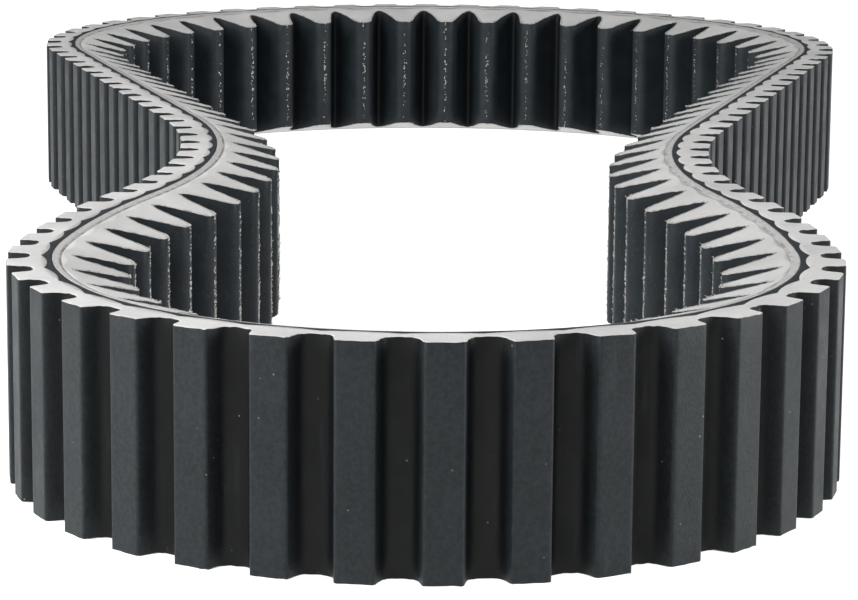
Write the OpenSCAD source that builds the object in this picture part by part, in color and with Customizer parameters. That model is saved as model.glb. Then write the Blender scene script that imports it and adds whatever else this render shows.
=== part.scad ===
/* [Belt section] */
// Width across the outer edge, between the two cut flanks
belt_w = 36; // [32:0.5:40]
// Thickness from the outer cog lands to the inner cog tips
belt_t = 20; // [18.5:0.5:22]
// Depth of the tension cord's middle below the outer lands
cord_depth = 7.9; // [7.7:0.1:8.3]
// Slope of each drive flank, as half of the V angle
flank_angle = 14.5; // [11:0.5:16]

/* [Plies] */
// Thickness of the cord ply
cord_t = 1.0; // [0.8:0.1:1.2]
// Thickness of the adhesion rubber below the cord
lower_cushion_t = 0.5; // [0.4:0.1:0.8]
// Depth of the cusps in which the outer rubber ends, under the valleys
cusp_depth = 5.6; // [5:0.1:5.8]
// How much deeper the outer rubber bulges under each cog
bulge = 0.9; // [0.5:0.1:1.1]
// Thickness of the fabric over the inner cogs
fabric_t = 0.5; // [0.3:0.1:0.7]

/* [Outer cogs] */
// Number of outer cogs
outer_cogs = 102; // [98:1:108]
// Width of a land
land_w = 6.1; // [5.4:0.1:6.6]
// Depth of the valleys between the lands
valley_depth = 3.8; // [3:0.1:4.2]
// Where the first land sits after the foremost point, in outer pitches
outer_phase = 0.5; // [0:0.01:0.99]

/* [Inner cogs] */
// Number of inner cogs
inner_cogs = 85; // [82:1:88]
// Width of a cog at its tip
tip_w = 5.1; // [4.4:0.1:5.6]
// Width of a cog at its root
root_w = 11.9; // [11.2:0.1:12.1]
// Depth of the slots between the cogs
slot_depth = 8.8; // [8:0.1:9.2]

/* [Lay of the loop, along the cord line] */
// Radius of the front loop at its foremost point, and the easier radius of its sides
front_r = [57.9, 76];
// Turn at the tighter radius, each way from the foremost point
front_turn = 57.3; // [50:0.1:60]
// Turn of the sides of the front loop, right and left
front_side_turn = [36.1, 34.9];
// Radius of the easy bend behind the front loop, right and left
side_r = [264, 246.7];
// Turn of that bend, right and left
side_turn = [13.1, 12.2];
// Radius of the reverse bend at the waist, right and left
waist_r = [179.5, 187.6];
// Turn of the reverse bend, right and left
waist_turn = [29.2, 34];
// Length of the straight run behind the waist on the right
straight_run = 149.9; // [145:0.1:155]

/* [Hidden] */
$fn = 180;

// Depths below the outer lands at which one ply meets the next
cord_top = cord_depth - cord_t / 2;
cord_bottom = cord_depth + cord_t / 2;
inner_top = cord_bottom + lower_cushion_t;
slot_root = belt_t - slot_depth;
clear = 1; // how far a cutting shape reaches past what it cuts

// The loop is a chain of arcs and straights, each [signed radius, turn] or [0, length]. It starts
// at the foremost point, heads for +X and closes on itself: the back radius and the left run are
// worked out so that it does.
function arc_chord(h0, h1) = [sin(h1) - sin(h0), cos(h0) - cos(h1)];
function heading(h) = [cos(h), sin(h)];
function cross2(a, b) = a[0] * b[1] - a[1] * b[0];

after_shoulder = front_turn + front_side_turn[0];
after_side = after_shoulder + side_turn[0];
heading_right_run = after_side - waist_turn[0];
before_front = 360 - front_turn;
before_shoulder = before_front - front_side_turn[1];
before_side = before_shoulder - side_turn[1];
heading_left_run = before_side + waist_turn[1];
known_travel = front_r[0] * arc_chord(before_front, 360 + front_turn)
    + front_r[1] * (arc_chord(front_turn, after_shoulder) + arc_chord(before_shoulder, before_front))
    + side_r[0] * arc_chord(after_shoulder, after_side)
    + side_r[1] * arc_chord(before_side, before_shoulder)
    - waist_r[0] * arc_chord(after_side, heading_right_run)
    - waist_r[1] * arc_chord(heading_left_run, before_side)
    + straight_run * heading(heading_right_run);
back_unit = arc_chord(heading_right_run, heading_left_run);
left_unit = heading(heading_left_run);
closing = cross2(back_unit, left_unit);
back_r = cross2(-known_travel, left_unit) / closing;
left_run = cross2(back_unit, -known_travel) / closing;

chain = [
    [front_r[0], front_turn],
    [front_r[1], front_side_turn[0]],
    [side_r[0], side_turn[0]],
    [-waist_r[0], waist_turn[0]],
    [0, straight_run],
    [back_r, heading_left_run - heading_right_run],
    [0, left_run],
    [-waist_r[1], waist_turn[1]],
    [side_r[1], side_turn[1]],
    [front_r[1], front_side_turn[1]],
    [front_r[0], front_turn],
];
count = len(chain);

// A pose is [x, y, heading]
function link_length(link) = link[0] == 0 ? link[1] : abs(link[0]) * link[1] * PI / 180;
function advance(pose, r, travel) =
    r == 0
        ? [pose[0] + travel * cos(pose[2]), pose[1] + travel * sin(pose[2]), pose[2]]
        : let (h = pose[2] + travel / r * 180 / PI, c = arc_chord(pose[2], h))
            [pose[0] + r * c[0], pose[1] + r * c[1], h];
function link_starts(pose, i) =
    i == count ? [pose]
        : concat([pose], link_starts(advance(pose, chain[i][0], link_length(chain[i])), i + 1));
function travels(total, i) =
    i == count ? [total] : concat([total], travels(total + link_length(chain[i]), i + 1));

// The belt's box is centred on the origin: its sides and back are on the back arc, its front on
// the front arc.
raw_starts = link_starts([0, 0, 0], 0);
back_start = raw_starts[5];
back_centre = [back_start[0] - back_r * sin(back_start[2]),
    back_start[1] + back_r * cos(back_start[2])];
middle_y = (back_centre[1] + back_r) / 2;
starts = [for (p = raw_starts) [p[0] - back_centre[0], p[1] - middle_y, p[2]]];
reached = travels(0, 0);
cord_length = reached[count];
outer_pitch = cord_length / outer_cogs;
inner_pitch = cord_length / inner_cogs;

// Pose on the cord line after a travel s from the foremost point
function pose_at(s) =
    let (t = s < 0 ? s + cord_length : s >= cord_length ? s - cord_length : s,
        i = max([for (k = [0:count - 1]) if (reached[k] <= t) k]))
        advance(starts[i], chain[i][0], t - reached[i]);
// Plan position u along the belt from a pose, at a depth below the outer lands
function at(pose, u, depth) =
    let (out = cord_depth - depth)
        [pose[0] + u * cos(pose[2]) + out * sin(pose[2]),
            pose[1] + u * sin(pose[2]) - out * cos(pose[2])];

// Outline of the outer cogs: flat lands with eased shoulders and round-bottomed valleys
shoulder = [[-0.6, 0], [-0.15, 0.2], [0.1, 0.65], [0.45, 2.1], [1.0, 3.25]]; // from the land's edge
function mirrored(points) = [for (i = [len(points) - 1:-1:0]) [-points[i][0], points[i][1]]];
land_half = [for (p = shoulder) [land_w / 2 + p[0], p[1] * valley_depth / 3.8]];
outer_cog = concat(mirrored(land_half), land_half);
function outer_outline() = [for (k = [0:outer_cogs - 1])
    let (s = (k + outer_phase) * outer_pitch, cog = pose_at(s), valley = pose_at(s + outer_pitch / 2))
        each concat([for (p = outer_cog) at(cog, p[0], p[1])], [at(valley, 0, valley_depth)])];

// Inner boundary of the outer rubber: a round bulge under each cog, a cusp under each valley
bulge_steps = 5;
function scallop_outline() = [for (k = [0:outer_cogs - 1])
    let (s = (k + outer_phase) * outer_pitch, cog = pose_at(s), valley = pose_at(s + outer_pitch / 2))
        each concat(
            [for (j = [1:bulge_steps])
                let (f = 2 * j / (bulge_steps + 1) - 1)
                    at(cog, f * outer_pitch / 2, cusp_depth + bulge * (1 - f * f))],
            [at(valley, 0, cusp_depth)])];

// Outline of the inner cogs at a distance inside their rubber: tapered, with a rounded tip
taper = atan((root_w - tip_w) / 2 / slot_depth);
tip_steps = 4;
function inner_cog(skin) =
    let (side = skin / cos(taper),
        tip_round = tip_w / 2,
        half_root = root_w / 2 + side,
        half_tip = tip_w / 2 + side)
        concat(
            [[-half_root + 0.3, slot_root - 0.1 + skin]],
            [for (a = [0:tip_steps]) let (w = 90 * a / tip_steps)
                [-half_tip * cos(w), belt_t - fabric_t - tip_round * (1 - sin(w)) * 0.8 + skin]],
            [for (a = [tip_steps - 1:-1:0]) let (w = 90 * a / tip_steps)
                [half_tip * cos(w), belt_t - fabric_t - tip_round * (1 - sin(w)) * 0.8 + skin]],
            [[half_root - 0.3, slot_root - 0.1 + skin]]);
function inner_outline(skin) = [for (k = [0:inner_cogs - 1])
    let (cog = pose_at((k + 0.5) * inner_pitch), slot = pose_at((k + 1) * inner_pitch))
        each concat([for (p = inner_cog(skin)) at(cog, p[0], p[1])],
            [at(slot, 0, slot_root - 0.5 + skin)])];

// Outline of the loop at a depth below the outer lands, with a point at every half inner cog
function ring_outline(depth) = [for (k = [0:2 * inner_cogs - 1])
    at(pose_at(k * inner_pitch / 2), 0, depth)];

// How far a cut flank has come in from the belt's outer edge at a depth: the flank is upright
// down to the cord and slopes from there to the inner tips
function inset(depth) = max(0, depth - cord_top) * tan(flank_angle);

// A closed ring with a three-cornered section of [depth, z] points. Its stations are on the sides
// of the cogs, clear of the corners of their outline.
module wedge_ring(section) {
    polyhedron(
        points = [for (k = [0:inner_cogs - 1]) let (pose = pose_at((k + 0.22) * inner_pitch))
            each [for (p = section) [each at(pose, 0, p[0]), p[1]]]],
        faces = [for (k = [0:inner_cogs - 1]) let (m = (k + 1) % inner_cogs)
            each [for (j = [0:2]) let (n = (j + 1) % 3)
                [3 * k + j, 3 * k + n, 3 * m + n, 3 * m + j]]]);
}

// What the sloping flanks leave out, above and below
module flank_cuts() {
    deep = belt_t + clear;
    wedge_ring([[cord_top, belt_w], [deep, belt_w + clear], [deep, belt_w - inset(deep)]]);
    wedge_ring([[cord_top, 0], [deep, inset(deep)], [deep, -clear]]);
}

module outer_cog_rubber() {
    color([0.16, 0.18, 0.19])
        linear_extrude(belt_w)
            difference() {
                polygon(outer_outline());
                polygon(scallop_outline());
            }
}

module upper_cushion_rubber() {
    color([0.1, 0.11, 0.12])
        linear_extrude(belt_w)
            difference() {
                polygon(scallop_outline());
                polygon(ring_outline(cord_top));
            }
}

// The cord is wound side by side from flank to flank and lies as one band
module tension_cord() {
    edge = inset(cord_depth);
    color([0.86, 0.85, 0.8])
        translate([0, 0, edge])
            linear_extrude(belt_w - 2 * edge)
                difference() {
                    polygon(ring_outline(cord_top));
                    polygon(ring_outline(cord_bottom));
                }
}

module lower_cushion_rubber() {
    edge = inset((cord_bottom + inner_top) / 2);
    color([0.12, 0.13, 0.14])
        translate([0, 0, edge])
            linear_extrude(belt_w - 2 * edge)
                difference() {
                    polygon(ring_outline(cord_bottom));
                    polygon(ring_outline(inner_top));
                }
}

module inner_cog_rubber() {
    color([0.2, 0.21, 0.22])
        difference() {
            linear_extrude(belt_w)
                difference() {
                    polygon(ring_outline(inner_top));
                    polygon(inner_outline(0));
                }
            flank_cuts();
        }
}

module inner_cog_fabric() {
    color([0.3, 0.31, 0.32])
        difference() {
            linear_extrude(belt_w)
                difference() {
                    polygon(inner_outline(0));
                    polygon(inner_outline(fabric_t));
                }
            flank_cuts();
        }
}

outer_cog_rubber();
upper_cushion_rubber();
tension_cord();
lower_cushion_rubber();
inner_cog_rubber();
inner_cog_fabric();
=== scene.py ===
"""A double-cogged variable-speed drive belt, standing on one cut flank in a pinched loop.

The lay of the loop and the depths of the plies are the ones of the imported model. Lengths are in
metres. A place on the belt is given by its travel along the cord line from the foremost point,
its depth below the outer cog lands, and its height above the floor.
"""

import math

import bpy
import numpy as np
from bpy.props import FloatProperty, FloatVectorProperty, IntProperty, PointerProperty
from mathutils import Matrix, Vector


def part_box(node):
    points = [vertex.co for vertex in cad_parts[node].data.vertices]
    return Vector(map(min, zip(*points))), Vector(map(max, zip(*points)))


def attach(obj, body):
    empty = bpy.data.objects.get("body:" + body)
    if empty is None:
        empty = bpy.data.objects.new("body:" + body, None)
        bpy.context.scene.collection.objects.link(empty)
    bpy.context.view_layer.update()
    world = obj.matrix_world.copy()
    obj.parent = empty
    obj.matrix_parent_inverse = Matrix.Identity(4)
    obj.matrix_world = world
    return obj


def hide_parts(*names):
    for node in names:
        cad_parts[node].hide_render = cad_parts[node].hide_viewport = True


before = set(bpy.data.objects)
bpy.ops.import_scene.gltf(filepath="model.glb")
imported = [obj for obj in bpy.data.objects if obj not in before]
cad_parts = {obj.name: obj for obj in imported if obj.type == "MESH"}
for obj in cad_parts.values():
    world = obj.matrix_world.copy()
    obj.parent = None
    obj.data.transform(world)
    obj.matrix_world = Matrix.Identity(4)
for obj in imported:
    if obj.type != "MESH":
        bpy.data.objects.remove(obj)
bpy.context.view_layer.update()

bl_info = {
    "name": "Drive Belt",
    "version": (1, 0, 0),
    "blender": (4, 5, 0),
    "location": "View3D > Sidebar > Belt",
    "description": "Builds a double-cogged variable-speed drive belt ply by ply",
    "category": "Add Mesh",
}

MM = 0.001
BELT_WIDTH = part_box("outer_cog_rubber")[1][2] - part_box("outer_cog_rubber")[0][2]


# ---------------------------------------------------------------- sizes and colours


class BeltLay(bpy.types.PropertyGroup):
    """How the loop lies, along its cord line."""

    front_radius: FloatVectorProperty(
        name="Front loop radius", description="Radius at the foremost point, and at the sides",
        size=2, default=(0.0579, 0.076), unit="LENGTH")
    front_turn: FloatProperty(
        name="Front turn", description="Turn at the tighter radius, each way",
        default=math.radians(57.3), subtype="ANGLE")
    front_side_turn: FloatVectorProperty(
        name="Front side turn", description="Turn of the front loop's sides, right and left",
        size=2, default=(math.radians(36.1), math.radians(34.9)), subtype="EULER")
    side_radius: FloatVectorProperty(
        name="Side radius", description="Radius of the easy bend behind the front, right and left",
        size=2, default=(0.264, 0.2467), unit="LENGTH")
    side_turn: FloatVectorProperty(
        name="Side turn", description="Turn of that bend, right and left",
        size=2, default=(math.radians(13.1), math.radians(12.2)), subtype="EULER")
    waist_radius: FloatVectorProperty(
        name="Waist radius", description="Radius of the reverse bend, right and left",
        size=2, default=(0.1795, 0.1876), unit="LENGTH")
    waist_turn: FloatVectorProperty(
        name="Waist turn", description="Turn of the reverse bend, right and left",
        size=2, default=(math.radians(29.2), math.radians(34)), subtype="EULER")
    straight_run: FloatProperty(
        name="Straight run", description="Straight run behind the waist on the right",
        default=0.1499, unit="LENGTH")


class BeltPlies(bpy.types.PropertyGroup):
    """The stack of plies and the cogs."""

    thickness: FloatProperty(
        name="Thickness", description="From the outer lands to the inner cog tips",
        default=0.020, unit="LENGTH")
    cord_depth: FloatProperty(
        name="Cord depth", description="Depth of the cord's middle below the outer lands",
        default=0.0079, unit="LENGTH")
    cord_size: FloatProperty(
        name="Cord diameter", description="Diameter of the twisted cord",
        default=0.001, unit="LENGTH")
    cord_turns: IntProperty(
        name="Cord turns", description="Turns of cord wound side by side", default=28, min=3)
    cushion: FloatProperty(
        name="Lower cushion", description="Adhesion rubber below the cord",
        default=0.0005, unit="LENGTH")
    cusp_depth: FloatProperty(
        name="Cusp depth", description="Depth at which the outer rubber ends under a valley",
        default=0.0056, unit="LENGTH")
    bulge: FloatProperty(
        name="Bulge", description="How much deeper it bulges under each cog",
        default=0.0009, unit="LENGTH")
    fabric: FloatProperty(
        name="Fabric", description="Thickness of the knit over the inner cogs",
        default=0.0005, unit="LENGTH")
    flank_angle: FloatProperty(
        name="Flank angle", description="Slope of each drive flank",
        default=math.radians(14.5), subtype="ANGLE")
    outer_cogs: IntProperty(name="Outer cogs", description="Number of outer cogs", default=102)
    inner_cogs: IntProperty(name="Inner cogs", description="Number of inner cogs", default=85)
    phase: FloatProperty(
        name="Cog phase", description="Where the first cogs sit after the foremost point",
        default=0.5)


class BeltLooks(bpy.types.PropertyGroup):
    """Colours of the finishes."""

    moulded: FloatVectorProperty(
        name="Moulded rubber", description="Outer lands as they leave the mould",
        subtype="COLOR", default=(0.0125, 0.0165, 0.0185))
    # painted shade: near-black colour laid into the floors of the valleys and slots, standing in
    # for the shade that falls there
    painted_hollow_shade: FloatVectorProperty(
        name="Valley rubber", description="Floors of the valleys and slots",
        subtype="COLOR", default=(0.0022, 0.0028, 0.0031))
    cut: FloatVectorProperty(
        name="Cut flank", description="Ground rubber on the drive flanks",
        subtype="COLOR", default=(0.55, 0.544, 0.535))
    cut_dark: FloatVectorProperty(
        name="Cut flank shade", description="Darker patches of the drive flanks",
        subtype="COLOR", default=(0.41, 0.405, 0.398))
    gum: FloatVectorProperty(
        name="Adhesion rubber", description="Black gum round the cord",
        subtype="COLOR", default=(0.016, 0.021, 0.024))
    cord: FloatVectorProperty(
        name="Cord", description="Cut aramid cord", subtype="COLOR", default=(0.5, 0.492, 0.478))
    knit: FloatVectorProperty(
        name="Knit facing", description="Rubber-soaked knit on the inner cogs",
        subtype="COLOR", default=(0.011, 0.015, 0.018))
    fray: FloatVectorProperty(
        name="Frayed fibre", description="Pale fibre at the cog tips",
        subtype="COLOR", default=(0.75, 0.73, 0.69))


def lay():
    """The scene's loop shape."""
    return bpy.context.scene.belt_lay


def plies():
    """The scene's ply stack."""
    return bpy.context.scene.belt_plies


def looks():
    """The scene's colours."""
    return bpy.context.scene.belt_looks


# ---------------------------------------------------------------- the loop


def arc_chord(h0, h1):
    """From one heading to another on an arc of radius 1."""
    return np.array([np.sin(h1) - np.sin(h0), np.cos(h0) - np.cos(h1)])


class Loop:
    """The cord line: arcs and straights that start at the foremost point and head for +X."""

    def __init__(self):
        a = lay()
        right_heading = (a.front_turn + a.front_side_turn[0] + a.side_turn[0]
                         - a.waist_turn[0])
        left_heading = (2 * math.pi - a.front_turn - a.front_side_turn[1] - a.side_turn[1]
                        + a.waist_turn[1])
        links = [
            (a.front_radius[0], a.front_turn), (a.front_radius[1], a.front_side_turn[0]),
            (a.side_radius[0], a.side_turn[0]), (-a.waist_radius[0], a.waist_turn[0]),
            (0.0, a.straight_run), None, None,
            (-a.waist_radius[1], a.waist_turn[1]), (a.side_radius[1], a.side_turn[1]),
            (a.front_radius[1], a.front_side_turn[1]), (a.front_radius[0], a.front_turn),
        ]
        heading, travelled = 0.0, np.zeros(2)
        for i, link in enumerate(links):
            if link is None:
                heading = left_heading
            elif link[0] == 0:
                travelled += link[1] * np.array([math.cos(heading), math.sin(heading)])
            else:
                turned = heading + math.copysign(link[1], link[0])
                travelled += link[0] * arc_chord(heading, turned)
                heading = turned
        back = arc_chord(right_heading, left_heading)
        left = np.array([math.cos(left_heading), math.sin(left_heading)])
        back_radius, left_run = np.linalg.solve(np.column_stack([back, left]), -travelled)
        links[5] = (back_radius, left_heading - right_heading)
        links[6] = (0.0, left_run)

        self.radius = np.array([link[0] for link in links])
        spans = [abs(r) * turn if r else turn for r, turn in links]
        self.reached = np.concatenate([[0.0], np.cumsum(spans)])
        self.length = self.reached[-1]
        self.starts = np.zeros((len(links), 3))
        for i in range(1, len(links)):
            self.starts[i] = self._advance(i - 1, np.array([spans[i - 1]]))[0]
        middle = self.starts[5]
        centre = middle[:2] + back_radius * np.array([-math.sin(middle[2]), math.cos(middle[2])])
        self.starts[:, 0] -= centre[0]
        self.starts[:, 1] -= (centre[1] + back_radius) / 2

    def _advance(self, link, travel):
        """Poses (x, y, heading) at some travels from the start of one link."""
        x, y, h = self.starts[link]
        r = self.radius[link]
        if r == 0:
            return np.column_stack([x + travel * np.cos(h), y + travel * np.sin(h),
                                    np.full_like(travel, h)])
        turned = h + travel / r
        chord = arc_chord(h, turned)
        return np.column_stack([x + r * chord[0], y + r * chord[1], turned])

    def poses(self, travel):
        """Poses (x, y, heading) at travels anywhere round the belt."""
        travel = np.mod(np.asarray(travel, float), self.length)
        link = np.clip(np.searchsorted(self.reached, travel, side="right") - 1, 0,
                       len(self.radius) - 1)
        out = np.zeros((travel.size, 3))
        for i in range(len(self.radius)):
            here = link == i
            if here.any():
                out[here] = self._advance(i, travel[here] - self.reached[i])
        return out

    def plan(self, travel, along, depth):
        """Plan places at a step along the tangent from a travel, at a depth below the lands."""
        p = self.poses(travel)
        out = plies().cord_depth - depth
        sin, cos = np.sin(p[:, 2]), np.cos(p[:, 2])
        return np.column_stack([p[:, 0] + along * cos + out * sin,
                                p[:, 1] + along * sin - out * cos])


# ---------------------------------------------------------------- profiles


def smooth_through(points, steps):
    """Catmull-Rom curve through points, with some steps between each two."""
    p = np.array(points, float)
    p = np.vstack([2 * p[0] - p[1], p, 2 * p[-1] - p[-2]])
    out = []
    for i in range(1, len(p) - 2):
        for t in np.arange(steps) / steps:
            out.append(0.5 * (2 * p[i] + (p[i + 1] - p[i - 1]) * t
                              + (2 * p[i - 1] - 5 * p[i] + 4 * p[i + 1] - p[i + 2]) * t * t
                              + (3 * p[i] - p[i - 1] - 3 * p[i + 1] + p[i + 2]) * t ** 3))
    out.append(p[-2])
    return np.array(out)


def whole_cog(half):
    """Mirrors half a cog, from its middle to the middle of the gap, into one whole pitch."""
    left = half[::-1].copy()
    left[:, 0] *= -1
    return np.vstack([left[:-1], half])[:-1]


class Stations:
    """Every station round the belt on one cog outline, with the gap stretched to the bend."""

    def __init__(self, loop, count, cog, rigid):
        pitch = loop.length / count
        self.cog_travel = np.repeat((np.arange(count) + plies().phase) * pitch, len(cog))
        self.along = np.tile(cog[:, 0], count)
        self.depth = np.tile(cog[:, 1], count)
        self.travel = self.cog_travel + self.along
        gap = np.clip((np.abs(self.along) - rigid) / (pitch / 2 - rigid), 0, 1)
        in_cog = loop.plan(self.cog_travel, self.along, self.depth)
        in_gap = loop.plan(self.travel, 0 * self.along, self.depth)
        self.xy = in_cog * (1 - gap[:, None]) + in_gap * gap[:, None]
        self.count = len(self.depth)


def ripple(count, seed, smooth):
    """A repeatable ragged line of values, mostly within -1 and 1, that closes on itself."""
    raw = np.random.default_rng(seed).standard_normal(count)
    window = np.exp(-np.linspace(-2, 2, 2 * smooth + 1) ** 2)
    line = np.convolve(np.tile(raw, 3), window, "same")[count:2 * count]
    return line / (line.std() + 1e-9)


# ---------------------------------------------------------------- mesh from rows


def flank_inset(depth):
    """How far the drive flank has come in from the belt's edge at a depth."""
    p = plies()
    cord_top = p.cord_depth - p.cord_size / 2
    return np.maximum(0, depth - cord_top) * math.tan(p.flank_angle)


def ring_mesh(name, rows, cut_rows, materials, faces_in=False):
    """A closed ring from rows of points, each row once round the belt, joined in their order.

    cut_rows holds the index of each band of faces that is cut and not moulded. faces_in is for
    a ply whose moulded face looks into the loop.
    """
    count = len(rows[0][0])
    verts = np.concatenate([np.column_stack([xy, z]) for xy, z, _ in rows])
    depth = np.concatenate([d for _, _, d in rows])
    i = np.arange(count)
    n = (i + 1) % count
    faces, slots = [], []
    for j in range(len(rows)):
        m = (j + 1) % len(rows)
        band = [j * count + i, j * count + n, m * count + n, m * count + i]
        faces.append(np.column_stack(band[::-1] if faces_in else band))
        slots.append(np.full(count, 1 if j in cut_rows else 0))
    mesh = bpy.data.meshes.new(name)
    mesh.from_pydata(verts.tolist(), [], np.concatenate(faces).tolist())
    mesh.polygons.foreach_set("material_index", np.concatenate(slots).astype(np.int32))
    mesh.polygons.foreach_set("use_smooth", np.ones(len(mesh.polygons), bool))
    mesh.attributes.new("depth", "FLOAT", "POINT").data.foreach_set("value", depth / MM)
    for material in materials:
        mesh.materials.append(material)
    mesh.update()
    piece = bpy.data.objects.new(name, mesh)
    bpy.context.scene.collection.objects.link(piece)
    return piece


def belt_rows(edge, edge_depth, back, back_depth, round_edge, flank_steps, levels,
              drop=0.0, flank_noise=None):
    """Rows round the section of one ply, from its back at the bottom flank out and over.

    edge is the plan outline of the ply's outer or moulded face and back that of its other side.
    round_edge is the radius, one value at each station, of the worn corner between face and
    flank. drop sets the flank back from the belt's own.
    """
    towards = back - edge
    towards /= np.linalg.norm(towards, axis=1)[:, None] + 1e-12
    r = round_edge
    shoulder = edge + towards * r[:, None]
    shoulder_depth = edge_depth + (back_depth - edge_depth) * np.clip(
        r / (np.linalg.norm(back - edge, axis=1) + 1e-12), 0, 1)
    width = BELT_WIDTH
    lower = []
    for k in range(flank_steps):
        t = k / flank_steps
        xy = back * (1 - t) + shoulder * t
        d = back_depth * (1 - t) + shoulder_depth * t
        rough = 0 if flank_noise is None else flank_noise[k % len(flank_noise)] * (k > 0)
        lower.append((xy, flank_inset(d) + drop + rough, d))
    z_edge = flank_inset(edge_depth) + drop
    for angle in (0, math.pi / 6, math.pi / 3, math.pi / 2):
        xy = edge + towards * (r * (1 - math.sin(angle)))[:, None]
        lower.append((xy, z_edge + r * (1 - math.cos(angle)), edge_depth))
    upper = [(xy, width - z, d) for xy, z, d in reversed(lower)]
    low, high = lower[-1][1], upper[0][1]
    face = [(edge, low + (high - low) * k / levels, edge_depth) for k in range(1, levels)]
    rows = lower + face + upper
    flank = flank_steps + 2
    cut = set(range(flank)) | set(range(len(rows) - 1 - flank, len(rows) - 1))
    return rows, cut


# ---------------------------------------------------------------- shaders


class Value:
    """A node socket on which Python's operators add Math nodes."""

    def __init__(self, finish, socket):
        self.finish = finish
        self.socket = socket

    def _math(self, operation, *others):
        values = {i: o for i, o in enumerate(others)}
        return self.finish.add("ShaderNodeMath", {"operation": operation}, values)

    def __add__(self, other):
        return self._math("ADD", self, other)

    __radd__ = __add__

    def __sub__(self, other):
        return self._math("SUBTRACT", self, other)

    def __rsub__(self, other):
        return self._math("SUBTRACT", other, self)

    def __mul__(self, other):
        return self._math("MULTIPLY", self, other)

    __rmul__ = __mul__


class Finish:
    """A material under construction."""

    def __init__(self, name, roughness=0.5, specular=0.5, sheen=0.0):
        self.material = bpy.data.materials.new(name)
        self.material.use_nodes = True
        self.tree = self.material.node_tree
        self.shader = self.tree.nodes["Principled BSDF"]
        self.shader.inputs["Roughness"].default_value = roughness
        self.shader.inputs["Specular IOR Level"].default_value = specular
        self.shader.inputs["Sheen Weight"].default_value = sheen
        self.place = self.add("ShaderNodeTexCoord", output="Object")

    def add(self, kind, settings=None, inputs=None, output=0):
        """Any node: its settings first, then the values or links of its sockets."""
        node = self.tree.nodes.new(kind)
        for key, value in (settings or {}).items():
            setattr(node, key, value)
        for key, value in (inputs or {}).items():
            if isinstance(value, Value):
                self.tree.links.new(value.socket, node.inputs[key])
            else:
                node.inputs[key].default_value = value
        return Value(self, node.outputs[output])

    def noise(self, scale, detail=2.0, rough=0.5, stretch=None):
        place = self.place
        if stretch:
            place = self.add("ShaderNodeVectorMath", {"operation": "MULTIPLY"},
                             {0: place, 1: stretch})
        return self.add("ShaderNodeTexNoise", None,
                        {"Vector": place, "Scale": scale, "Detail": detail, "Roughness": rough})

    def grain(self, scale):
        """Distance to the nearest of many scattered points."""
        return self.add("ShaderNodeTexVoronoi", None, {"Vector": self.place, "Scale": scale},
                        output="Distance")

    def between(self, value, low, high, out_low=0.0, out_high=1.0):
        return self.add("ShaderNodeMapRange", {"interpolation_type": "SMOOTHSTEP"},
                        {"Value": value, "From Min": low, "From Max": high,
                         "To Min": out_low, "To Max": out_high})

    def mix(self, factor, a, b):
        def colour(c):
            return c if isinstance(c, Value) else (*c, 1.0)
        node = self.tree.nodes.new("ShaderNodeMix")
        node.data_type = "RGBA"
        for socket, value in ((node.inputs[0], factor), (node.inputs[6], colour(a)),
                              (node.inputs[7], colour(b))):
            if isinstance(value, Value):
                self.tree.links.new(value.socket, socket)
            else:
                socket.default_value = value
        return Value(self, node.outputs[2])

    def depth(self):
        """Depth below the outer lands, in millimetres."""
        return self.add("ShaderNodeAttribute", {"attribute_name": "depth"}, output="Fac")

    def to(self, socket, value):
        self.tree.links.new(value.socket, self.shader.inputs[socket])

    def bump(self, height, distance, strength=1.0):
        self.to("Normal", self.add("ShaderNodeBump", None, {
            "Height": height, "Distance": distance, "Strength": strength}))


def moulded_finish(name, lowest_depth, highest_depth):
    """Black rubber as it leaves the mould: satin, with painted shade darkening it from the lands
    into the valleys, with dust and fine grain.
    """
    look = looks()
    f = Finish(name, specular=0.22)
    depth = f.depth()
    hollow_for_shade_and_dust = f.between(depth, lowest_depth, highest_depth)
    cloud = f.between(f.noise(90, 4, 0.6), 0.35, 0.7)
    mottle = f.between(f.noise(1300, 3, 0.7), 0.38, 0.62)
    land = f.mix(0.35 * cloud + 0.65 * mottle, tuple(0.7 * c for c in look.moulded),
                 tuple(1.35 * c for c in look.moulded))
    # painted shade: the colour darkens with depth from the lands into the valley floors, standing
    # in for the shade in the valleys
    base = f.mix(hollow_for_shade_and_dust, land, look.painted_hollow_shade)
    dust = f.between(f.grain(1300), 0.09, 0.03) * f.between(f.noise(260, 3), 0.52, 0.66)
    streak = f.between(f.noise(500, 2, 0.5, (1, 1, 0.12)), 0.62, 0.78) * 0.5
    # the same depth mask thins the real dust in the valleys
    base = f.mix(dust * 0.75 * (1 - 0.4 * hollow_for_shade_and_dust), base, (0.13, 0.14, 0.145))
    base = f.mix(streak * 0.3, base, (0.05, 0.055, 0.06))
    specks = f.between(f.grain(420), 0.075, 0.02) * f.between(f.noise(130, 2), 0.5, 0.62)
    base = f.mix(specks * 0.8, base, (0.3, 0.3, 0.3))
    f.to("Base Color", base)
    f.to("Roughness", 0.36 + 0.22 * f.noise(300, 5, 0.7) + 0.10 * cloud)
    grain = f.noise(2600, 3, 0.6) * 0.7 + f.noise(420, 4, 0.6)
    f.bump(grain, 0.00011, 0.7)
    return f.material


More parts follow.
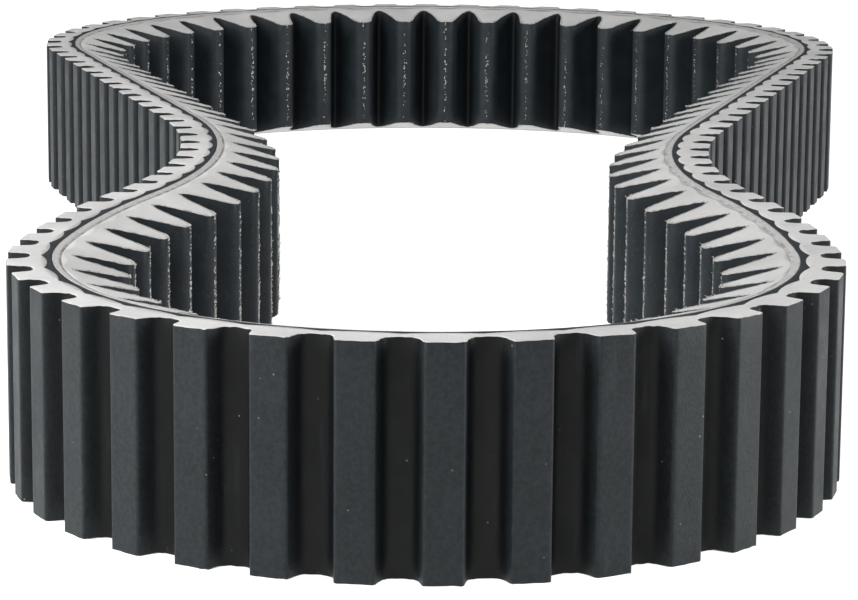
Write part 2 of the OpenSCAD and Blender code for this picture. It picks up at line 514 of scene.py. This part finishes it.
def cut_finish():
    """Ground flank: pale grey rubber dust over chopped fibre."""
    look = looks()
    f = Finish("cut_flank_grey", specular=0.25, sheen=0.05)
    patch = f.between(f.noise(45, 4, 0.6), 0.3, 0.72)
    base = f.mix(patch, look.cut, look.cut_dark)
    speckle = f.between(f.noise(2400, 2, 0.7), 0.40, 0.62)
    base = f.mix(speckle * 0.3, base, (0.52, 0.515, 0.505))
    pits = f.between(f.grain(1500), 0.16, 0.05)
    base = f.mix(pits * 0.45, base, (0.12, 0.12, 0.12))
    f.to("Base Color", base)
    f.to("Roughness", 0.72 + 0.2 * speckle)
    f.bump(f.noise(2600, 4, 0.7) + 0.5 * speckle - 0.6 * pits, 0.00007, 0.8)
    return f.material


def gum_finish():
    """Soft black adhesion rubber, with a little grey dust drawn over it."""
    look = looks()
    f = Finish("adhesion_gum", specular=0.35)
    dust = f.between(f.noise(900, 4, 0.7), 0.56, 0.75)
    f.to("Base Color", f.mix(dust * 0.5, look.gum, (0.16, 0.16, 0.155)))
    f.to("Roughness", 0.6 + 0.2 * dust)
    f.bump(f.noise(1800, 4, 0.65), 0.00008, 0.7)
    return f.material


def thin_gum_finish():
    """The thin gum below the cord, half hidden by grey grinding dust."""
    f = Finish("thin_gum", specular=0.3)
    dust = f.between(f.noise(300, 4, 0.7), 0.35, 0.6)
    f.to("Base Color", f.mix(dust, (0.2, 0.2, 0.198), (0.42, 0.415, 0.408)))
    f.to("Roughness", 0.7 + 0.15 * dust)
    f.bump(f.noise(2200, 3), 0.00006, 0.6)
    return f.material


def cord_finish():
    """Cut aramid cord: pale filaments with darker resin between them."""
    look = looks()
    f = Finish("cut_cord", specular=0.25)
    fibre = f.between(f.noise(2600, 3, 0.7), 0.38, 0.62)
    resin = f.between(f.noise(500, 3, 0.6), 0.5, 0.72)
    base = f.mix(fibre, tuple(0.7 * c for c in look.cord), look.cord)
    f.to("Base Color", f.mix(resin * 0.5, base, (0.22, 0.215, 0.205)))
    f.to("Roughness", 0.65 + 0.2 * fibre)
    f.bump(fibre, 0.00002, 0.5)
    return f.material


def knit_finish():
    """Rubber-soaked knit: near black, with a fine rib, pale broken fibre near the tips, and
    painted shade deep in the slots.
    """
    look = looks()
    f = Finish("cog_knit", specular=0.2)
    depth = f.depth()
    tip = f.between(depth, 15.5, 19.8)
    weave = f.noise(900, 3, 0.6)
    fuzz = f.between(f.noise(1700, 4, 0.75), 0.55, 0.75)
    base = f.mix(f.between(f.noise(220, 3), 0.35, 0.7), look.knit,
                 tuple(1.4 * c for c in look.knit))
    base = f.mix(fuzz * (0.03 + 0.16 * tip), base, (0.2, 0.2, 0.195))
    # painted shade: the knit darkens towards the hollow shade colour deep in the slots, standing
    # in for the shade there
    base = f.mix(f.between(depth, 11.0, 13.5, 0.75, 0.0), base, look.painted_hollow_shade)
    f.to("Base Color", base)
    f.to("Roughness", 0.5 + 0.25 * fuzz)
    f.bump(weave + 0.6 * fuzz, 0.00009, 0.7)
    return f.material


def knit_edge_finish():
    """Where the knit is cut at the flank: pale ends of thread."""
    look = looks()
    f = Finish("knit_edge", specular=0.2, sheen=0.2)
    thread = f.between(f.noise(1500, 3, 0.7), 0.36, 0.6)
    f.to("Base Color", f.mix(thread, (0.2, 0.198, 0.19), tuple(0.62 * c for c in look.fray)))
    f.to("Roughness", 0.75 + 0.15 * thread)
    f.bump(thread, 0.0001, 0.9)
    return f.material


def fray_finish():
    """Loose pale fibre."""
    look = looks()
    f = Finish("frayed_fibre", specular=0.2, sheen=0.3)
    tone = f.noise(800, 3)
    f.to("Base Color", f.mix(tone, tuple(0.55 * c for c in look.fray), look.fray))
    f.to("Roughness", 0.7 + 0.2 * tone)
    return f.material


def floor_finish():
    """Plain pale floor."""
    f = Finish("pale_floor", roughness=0.9, specular=0.1)
    f.to("Base Color", f.mix(f.noise(3.0, 2), (0.33, 0.33, 0.33), (0.37, 0.37, 0.37)))
    f.shader.inputs["Emission Color"].default_value = (1.0, 1.0, 1.0, 1.0)
    f.shader.inputs["Emission Strength"].default_value = FLOOR_GLOW
    return f.material


FINISHES = {}


def finish(name):
    """The named material, made once."""
    makers = {
        "outer_moulded": lambda: moulded_finish("outer_moulded_black", 0.3, 3.6),
        "cut": cut_finish, "gum": gum_finish, "thin_gum": thin_gum_finish,
        "cord": cord_finish, "knit": knit_finish, "knit_edge": knit_edge_finish,
        "fray": fray_finish, "floor": floor_finish,
    }
    if name not in FINISHES:
        FINISHES[name] = makers[name]()
    return FINISHES[name]


# ---------------------------------------------------------------- cog outlines


def outer_outline(loop):
    """Lands with eased shoulders, steep walls and round-bottomed valleys."""
    half_pitch = loop.length / plies().outer_cogs / 2
    land = 3.05 * MM
    half = [(0, 0), (1.2 * MM, 0), (2.45 * MM, 0.0), (2.85 * MM, 0.1 * MM), (land, 0.42 * MM),
            (3.22 * MM, 1.2 * MM), (3.42 * MM, 2.15 * MM), (3.72 * MM, 2.95 * MM),
            (4.2 * MM, 3.5 * MM), (4.8 * MM, 3.74 * MM), (half_pitch, 3.8 * MM)]
    cog = whole_cog(smooth_through(half, 2))
    cog[:, 1] = np.maximum(cog[:, 1], 0)
    return Stations(loop, plies().outer_cogs, cog, 3.8 * MM)


def scallop_depth(stations, loop):
    """Where the outer rubber ends: a round bulge under each cog, a cusp under each valley."""
    f = stations.along / (loop.length / plies().outer_cogs / 2)
    return plies().cusp_depth + plies().bulge * (1 - f * f)


def inner_outline(loop, skin):
    """Tapered fingers with round tips and narrow round slots, at a distance under their skin."""
    half_pitch = loop.length / plies().inner_cogs / 2
    half = [(0, 20.0), (0.95, 19.94), (1.7, 19.62), (2.3, 18.95), (2.75, 17.9), (3.3, 16.3),
            (4.05, 14.4), (4.85, 12.75), (5.5, 11.75), (6.05, 11.2)]
    shrink = skin / MM
    points = [(max(0, u - shrink * min(1, u / 1.6)) * MM, (d - shrink * (d > 17.5)) * MM)
              for u, d in half]
    points.append((half_pitch - 0.3 * MM, (10.85 - shrink) * MM))
    points.append((half_pitch, (10.78 - shrink) * MM))
    return Stations(loop, plies().inner_cogs, whole_cog(smooth_through(points, 2)), 5.6 * MM)


# ---------------------------------------------------------------- pieces


def settle(piece, node):
    """A piece stands in for its CAD node: it is hung under the root body and the node is hidden.
    """
    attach(piece, "root")
    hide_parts(node)


class BELT_OT_outer_rubber(bpy.types.Operator):
    """Outer cog rubber, with its lands, valleys and ground flanks"""

    bl_idname = "belt.outer_rubber"
    bl_label = "Outer cog rubber"

    def execute(self, context):
        loop = Loop()
        s = outer_outline(loop)
        depth = scallop_depth(s, loop)
        back = loop.plan(s.travel, 0 * s.along, depth)
        worn = (0.20 + 0.07 * ripple(s.count, 1, 2) + 0.05 * ripple(s.count, 2, 9)) * MM
        worn = np.clip(worn, 0.06 * MM, 0.5 * MM)
        noise = [ripple(s.count, 10 + k, 1) * 0.012 * MM for k in range(5)]
        rows, cut = belt_rows(s.xy, s.depth, back, depth, worn, 5, 10, flank_noise=noise)
        piece = ring_mesh("outer_cog_rubber_moulded", rows, cut,
                          [finish("outer_moulded"), finish("cut")])
        settle(piece, "outer_cog_rubber")
        return {"FINISHED"}


class BELT_OT_upper_cushion(bpy.types.Operator):
    """Adhesion rubber above the cord, a hair short of the ground flank"""

    bl_idname = "belt.upper_cushion"
    bl_label = "Upper cushion rubber"

    def execute(self, context):
        loop, p = Loop(), plies()
        s = outer_outline(loop)
        top = scallop_depth(s, loop)
        cord_top = np.full(s.count, p.cord_depth - p.cord_size / 2)
        edge = loop.plan(s.travel, 0 * s.along, top)
        back = loop.plan(s.travel, 0 * s.along, cord_top)
        worn = np.full(s.count, 0.05 * MM)
        noise = [ripple(s.count, 20 + k, 2) * 0.02 * MM for k in range(3)]
        rows, cut = belt_rows(edge, top, back, cord_top, worn, 3, 2, drop=0.05 * MM,
                              flank_noise=noise)
        piece = ring_mesh("upper_cushion_gum", rows, cut, [finish("gum"), finish("gum")])
        settle(piece, "upper_cushion_rubber")
        return {"FINISHED"}


class BELT_OT_tension_cord(bpy.types.Operator):
    """One long cord wound side by side from flank to flank, its first and last turns cut flat"""

    bl_idname = "belt.tension_cord"
    bl_label = "Tension cord"

    def execute(self, context):
        loop, p = Loop(), plies()
        around, sides = 300, 8
        turns = p.cord_turns
        radius = p.cord_size / 2
        edge = float(flank_inset(np.array([p.cord_depth]))[0])
        low, high = edge + 0.1 * MM, BELT_WIDTH - edge - 0.1 * MM
        steps = np.arange(turns * around + 1) / around
        climb = np.clip((steps - 1) / (turns - 2), 0, 1)
        centre = low + (high - low) * climb
        travel = steps * loop.length
        # each turn lies a hair under the one outside it, the outermost proud of the ground flank
        lift = 0.02 * MM - 0.03 * MM * np.clip(np.minimum(steps, turns - steps), 0, 2)
        rows = []
        for k in range(sides):
            angle = 2 * math.pi * k / sides
            z = centre + radius * math.sin(angle)
            depth = p.cord_depth + radius * math.cos(angle) + 0 * travel
            inset = flank_inset(depth)
            z = np.clip(z, inset - lift, BELT_WIDTH - inset + lift)
            xy = loop.plan(travel, 0 * travel, depth)
            rows.append(np.column_stack([xy, z]))
        count = len(steps)
        verts = np.concatenate(rows)
        i = np.arange(count - 1)
        faces = []
        for k in range(sides):
            m = (k + 1) % sides
            faces += np.column_stack([k * count + i, m * count + i, m * count + i + 1,
                                      k * count + i + 1]).tolist()
        faces.append([k * count for k in reversed(range(sides))])
        faces.append([k * count + count - 1 for k in range(sides)])
        mesh = bpy.data.meshes.new("tension_cord_winding")
        mesh.from_pydata(verts.tolist(), [], faces)
        mesh.materials.append(finish("cord"))
        piece = bpy.data.objects.new("tension_cord_winding", mesh)
        context.scene.collection.objects.link(piece)
        settle(piece, "tension_cord")
        return {"FINISHED"}


class BELT_OT_lower_cushion(bpy.types.Operator):
    """Thin adhesion rubber that fills the cord ply and reaches the inner rubber"""

    bl_idname = "belt.lower_cushion"
    bl_label = "Lower cushion rubber"

    def execute(self, context):
        loop, p = Loop(), plies()
        count = 4 * p.inner_cogs
        travel = np.arange(count) / count * loop.length
        top = np.full(count, p.cord_depth - p.cord_size / 2)
        bottom = np.full(count, p.cord_depth + p.cord_size / 2 + p.cushion)
        edge = loop.plan(travel, 0 * travel, top)
        back = loop.plan(travel, 0 * travel, bottom)
        rows, cut = belt_rows(edge, top, back, bottom, np.full(count, 0.04 * MM), 3, 2,
                              drop=0.02 * MM)
        piece = ring_mesh("lower_cushion_gum", rows, cut,
                          [finish("thin_gum"), finish("thin_gum")])
        settle(piece, "lower_cushion_rubber")
        return {"FINISHED"}


class BELT_OT_inner_rubber(bpy.types.Operator):
    """Inner cog rubber, with sloping ground flanks"""

    bl_idname = "belt.inner_rubber"
    bl_label = "Inner cog rubber"

    def execute(self, context):
        loop, p = Loop(), plies()
        s = inner_outline(loop, p.fabric)
        top = np.full(s.count, p.cord_depth + p.cord_size / 2 + p.cushion)
        back = loop.plan(s.travel, 0 * s.along, top)
        worn = np.full(s.count, 0.05 * MM)
        noise = [ripple(s.count, 40 + k, 1) * 0.014 * MM for k in range(8)]
        rows, cut = belt_rows(s.xy, s.depth, back, top, worn, 9, 2, flank_noise=noise)
        piece = ring_mesh("inner_cog_rubber_ground", rows, cut,
                          [finish("outer_moulded"), finish("cut")], faces_in=True)
        settle(piece, "inner_cog_rubber")
        return {"FINISHED"}


class BELT_OT_inner_fabric(bpy.types.Operator):
    """Knit facing over the inner cogs, with a ragged cut edge"""

    bl_idname = "belt.inner_fabric"
    bl_label = "Inner cog fabric"

    def execute(self, context):
        loop, p = Loop(), plies()
        s = inner_outline(loop, 0)
        under = inner_outline(loop, p.fabric)
        worn = (0.17 + 0.08 * ripple(s.count, 3, 1)) * MM
        worn = np.clip(worn, 0.04 * MM, 0.35 * MM)
        noise = [ripple(s.count, 50 + k, 1) * 0.05 * MM for k in range(3)]
        rows, cut = belt_rows(s.xy, s.depth, under.xy, under.depth, worn, 2, 10,
                              drop=-0.03 * MM, flank_noise=noise)
        piece = ring_mesh("inner_cog_knit", rows, cut, [finish("knit"), finish("knit_edge")],
                          faces_in=True)
        settle(piece, "inner_cog_fabric")
        return {"FINISHED"}


# cogs further back than this carry fewer flecks
BACK_LOOP_FROM = 0.06


class BELT_OT_tip_fray(bpy.types.Operator):
    """Pale flecks of broken fibre down each inner cog tip, with loose ends at the flanks"""

    bl_idname = "belt.tip_fray"
    bl_label = "Frayed cog tips"

    def execute(self, context):
        loop, p = Loop(), plies()
        rng = np.random.default_rng(7)
        inset = float(flank_inset(np.array([p.thickness]))[0])
        verts, faces = [], []

        def strand(spine, radii):
            """A three-sided tube along a spine, pointed at both ends."""
            start = len(verts)
            for at, r in zip(spine, radii):
                for k in range(3):
                    a = 2 * math.pi * k / 3
                    verts.append((at[0] + r * math.cos(a), at[1] + r * math.sin(a),
                                  at[2] + 0.2 * r * math.sin(a + 1)))
            for j in range(len(spine) - 1):
                for k in range(3):
                    m = (k + 1) % 3
                    a, b = start + 3 * j, start + 3 * j + 3
                    faces.append((a + k, a + m, b + m, b + k))
            faces.append((start + 2, start + 1, start))
            end = start + 3 * (len(spine) - 1)
            faces.append((end, end + 1, end + 2))

        low, high = inset - 0.02 * MM, BELT_WIDTH - inset + 0.02 * MM
        for cog in range(p.inner_cogs):
            travel = (cog + p.phase) * loop.length / p.inner_cogs
            in_front = loop.poses(np.array([travel]))[0, 1] < BACK_LOOP_FROM
            flecks = rng.integers(150, 200) if in_front else rng.integers(30, 60)
            worn = rng.uniform(0.2, 0.6)
            height = low + (high - low) * np.clip(
                np.where(rng.random(flecks) < 0.6, rng.normal(worn, 0.2, flecks),
                         rng.random(flecks)), 0.01, 0.99)
            side = rng.normal(0, 0.2, flecks) * MM
            foot = loop.plan(np.full(flecks, travel), side, np.full(flecks, p.thickness))
            for at, z in zip(foot, height):
                reach = rng.uniform(0.08, 0.55) * MM
                lean = rng.normal(0, 0.14, 2) * MM
                thick = rng.uniform(0.05, 0.2) * MM
                strand([(at[0], at[1], z), (at[0] + lean[0], at[1] + lean[1], z + reach)],
                       [thick, 0.5 * thick])
            for flank_z, way in ((high, 1), (low, -1)):
                for _ in range(9):
                    along = rng.uniform(-2.3, 2.3) * MM
                    depth = p.thickness - rng.uniform(0.0, 5.0) * MM * (abs(along) / (2.3 * MM))
                    root = loop.plan(np.array([travel]), np.array([along]), np.array([depth]))[0]
                    lean = rng.normal(0, 0.3, 2) * MM
                    rise = way * rng.uniform(0.03, 0.3) * MM
                    base_z = flank_z + way * (p.thickness - depth) * math.tan(p.flank_angle)
                    spine = [(root[0] + lean[0] * t, root[1] + lean[1] * t,
                              base_z + rise * math.sin(1.6 * t) - way * 0.06 * MM)
                             for t in (0, 0.35, 0.7, 1.0)]
                    thick = rng.uniform(0.04, 0.10) * MM
                    strand(spine, [thick, thick, 0.7 * thick, 0.15 * thick])
        mesh = bpy.data.meshes.new("cog_tip_fray")
        mesh.from_pydata(verts, [], faces)
        mesh.polygons.foreach_set("use_smooth", np.ones(len(mesh.polygons), bool))
        mesh.materials.append(finish("fray"))
        piece = bpy.data.objects.new("cog_tip_fray", mesh)
        context.scene.collection.objects.link(piece)
        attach(piece, "root")
        return {"FINISHED"}


# ---------------------------------------------------------------- stage

FLOOR_GLOW = 0.97
CAMERA_PLACE = (0.03824, -0.69104, 0.12616)
CAMERA_PITCH = math.radians(10.787)
CAMERA_YAW = math.radians(2.769)
CAMERA_ROLL = math.radians(0.467)
CAMERA_LENS = 133.35


class BELT_OT_stage(bpy.types.Operator):
    """Pale floor, soft studio lights and the camera"""

    bl_idname = "belt.stage"
    bl_label = "Stage"

    def execute(self, context):
        scene = context.scene
        bpy.ops.mesh.primitive_plane_add(size=12, location=(0, 2, 0))
        floor = context.active_object
        floor.name = "floor"
        floor.data.materials.append(finish("floor"))

        def softbox(name, place, aim, width, height, power):
            data = bpy.data.lights.new(name, "AREA")
            data.shape = "RECTANGLE"
            data.size = width
            data.size_y = height
            data.energy = power
            light = bpy.data.objects.new(name, data)
            light.location = place
            light.rotation_euler = (Vector(aim) - Vector(place)).to_track_quat(
                "-Z", "Y").to_euler()
            scene.collection.objects.link(light)

        softbox("overhead", (-0.45, -0.35, 0.4), (-0.05, -0.15, 0), 0.5, 0.5, 6.3)
        softbox("front", (-0.1, -1.5, 0.55), (0, -0.2, 0.02), 1.0, 0.7, 3)
        softbox("left_strip", (-0.9, -0.2, 0.2), (0, -0.15, 0.02), 0.3, 0.6, 2)
        softbox("right_strip", (0.9, -0.2, 0.2), (0, -0.15, 0.02), 0.3, 0.6, 9)

        world = bpy.data.worlds.new("studio")
        world.use_nodes = True
        background = world.node_tree.nodes["Background"]
        background.inputs["Color"].default_value = (0.95, 0.97, 1.0, 1.0)
        background.inputs["Strength"].default_value = 0.2
        scene.world = world
        scene.view_settings.view_transform = "Standard"

        data = bpy.data.cameras.new("camera")
        data.lens = CAMERA_LENS
        data.sensor_width = 36
        data.clip_start = 0.01
        camera = bpy.data.objects.new("camera", data)
        camera.matrix_world = (Matrix.Translation(CAMERA_PLACE)
                               @ Matrix.Rotation(CAMERA_YAW, 4, "Z")
                               @ Matrix.Rotation(math.pi / 2 - CAMERA_PITCH, 4, "X")
                               @ Matrix.Rotation(CAMERA_ROLL, 4, "Z"))
        scene.collection.objects.link(camera)
        scene.camera = camera
        return {"FINISHED"}


class BELT_PT_panel(bpy.types.Panel):
    """The belt's pieces"""

    bl_label = "Drive belt"
    bl_idname = "BELT_PT_panel"
    bl_space_type = "VIEW_3D"
    bl_region_type = "UI"
    bl_category = "Belt"

    def draw(self, context):
        for group in (lay(), plies(), looks()):
            for name in group.__annotations__:
                self.layout.prop(group, name)
        for operator in PIECES:
            self.layout.operator(operator.bl_idname)


PIECES = (BELT_OT_outer_rubber, BELT_OT_upper_cushion, BELT_OT_tension_cord,
          BELT_OT_lower_cushion, BELT_OT_inner_rubber, BELT_OT_inner_fabric, BELT_OT_tip_fray,
          BELT_OT_stage)
GROUPS = (BeltLay, BeltPlies, BeltLooks)


def register():
    for cls in (*GROUPS, *PIECES, BELT_PT_panel):
        bpy.utils.register_class(cls)
    bpy.types.Scene.belt_lay = PointerProperty(type=BeltLay)
    bpy.types.Scene.belt_plies = PointerProperty(type=BeltPlies)
    bpy.types.Scene.belt_looks = PointerProperty(type=BeltLooks)


def unregister():
    del bpy.types.Scene.belt_looks
    del bpy.types.Scene.belt_plies
    del bpy.types.Scene.belt_lay
    for cls in reversed((*GROUPS, *PIECES, BELT_PT_panel)):
        bpy.utils.unregister_class(cls)


def main():
    register()
    bpy.ops.belt.outer_rubber()
    bpy.ops.belt.upper_cushion()
    bpy.ops.belt.tension_cord()
    bpy.ops.belt.lower_cushion()
    bpy.ops.belt.inner_rubber()
    bpy.ops.belt.inner_fabric()
    bpy.ops.belt.tip_fray()
    bpy.ops.belt.stage()


if __name__ == "__main__":
    main()
